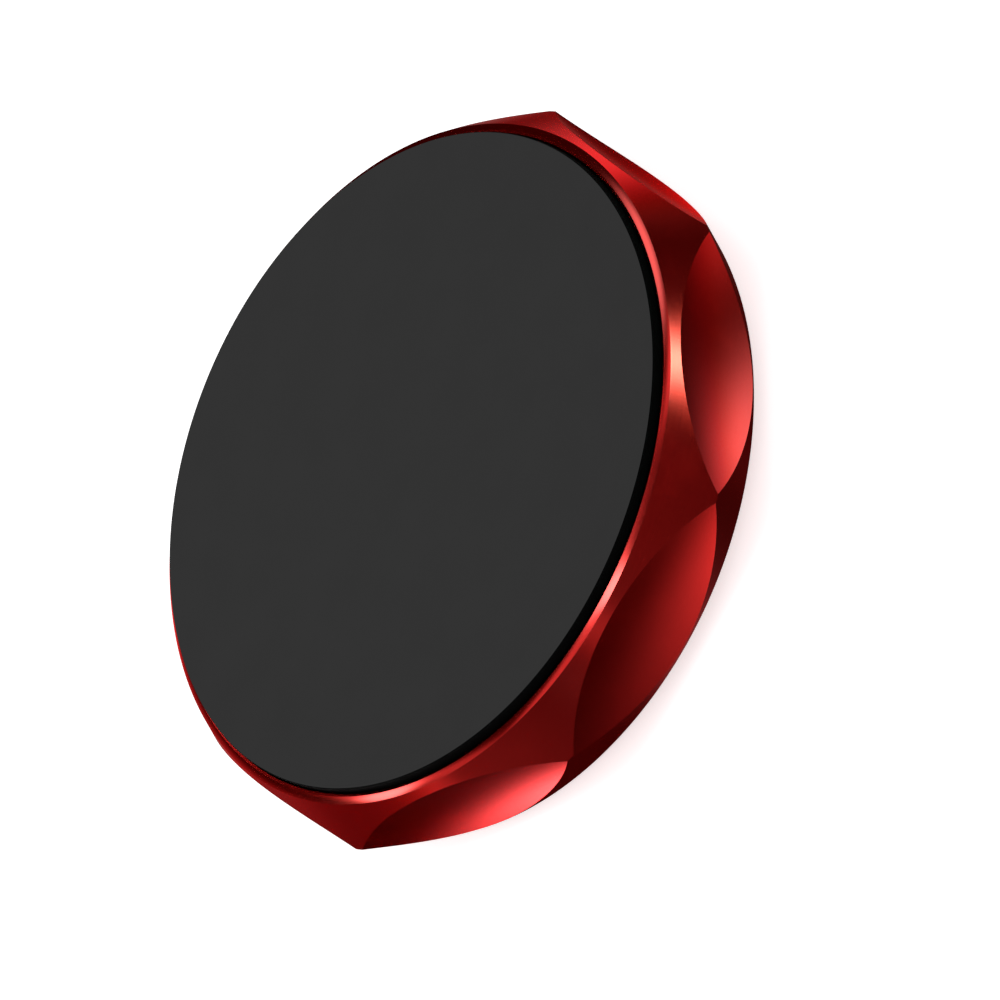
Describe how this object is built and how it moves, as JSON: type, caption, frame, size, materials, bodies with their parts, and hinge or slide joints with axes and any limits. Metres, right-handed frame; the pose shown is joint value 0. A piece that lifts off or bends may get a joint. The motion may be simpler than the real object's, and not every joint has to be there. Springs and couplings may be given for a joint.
{
  "type": "magnetic car phone holder",
  "caption": "Round stick-on magnetic phone holder: a flat anodised aluminium cup with a faceted edge, a black rubber front pad over magnets, and a foam adhesive back.",
  "frame": {"origin": "middle of the foam pad's sticky face, on the surface that the holder is stuck to", "axes": "+Z out of the front pad along the holder's axis; +X through one of the eight corners of the widest edge"},
  "size_m": [0.0406, 0.0406, 0.008],
  "materials": {
    "anodised_red": "turned and milled, bright anodised deep red",
    "black_rubber": "matt, very fine grain",
    "clear_adhesive": "thin transfer adhesive",
    "black_plastic": "moulded, matt",
    "nickel_plating": "nickel-plated neodymium",
    "zinc_plated_steel": "zinc-plated pressed sheet",
    "adhesive_foam": "closed-cell foam with a tacky face"
  },
  "bodies": {
    "root": {"shell": "anodised_red", "front_pad": "black_rubber", "pad_film": "clear_adhesive", "magnet_carrier": "black_plastic", "magnet_1": "nickel_plating", "magnet_2": "nickel_plating", "magnet_3": "nickel_plating", "magnet_4": "nickel_plating", "magnet_5": "nickel_plating", "magnet_6": "nickel_plating", "yoke_plate": "zinc_plated_steel", "foam_pad": "adhesive_foam"}
  },
  "joints": []
}
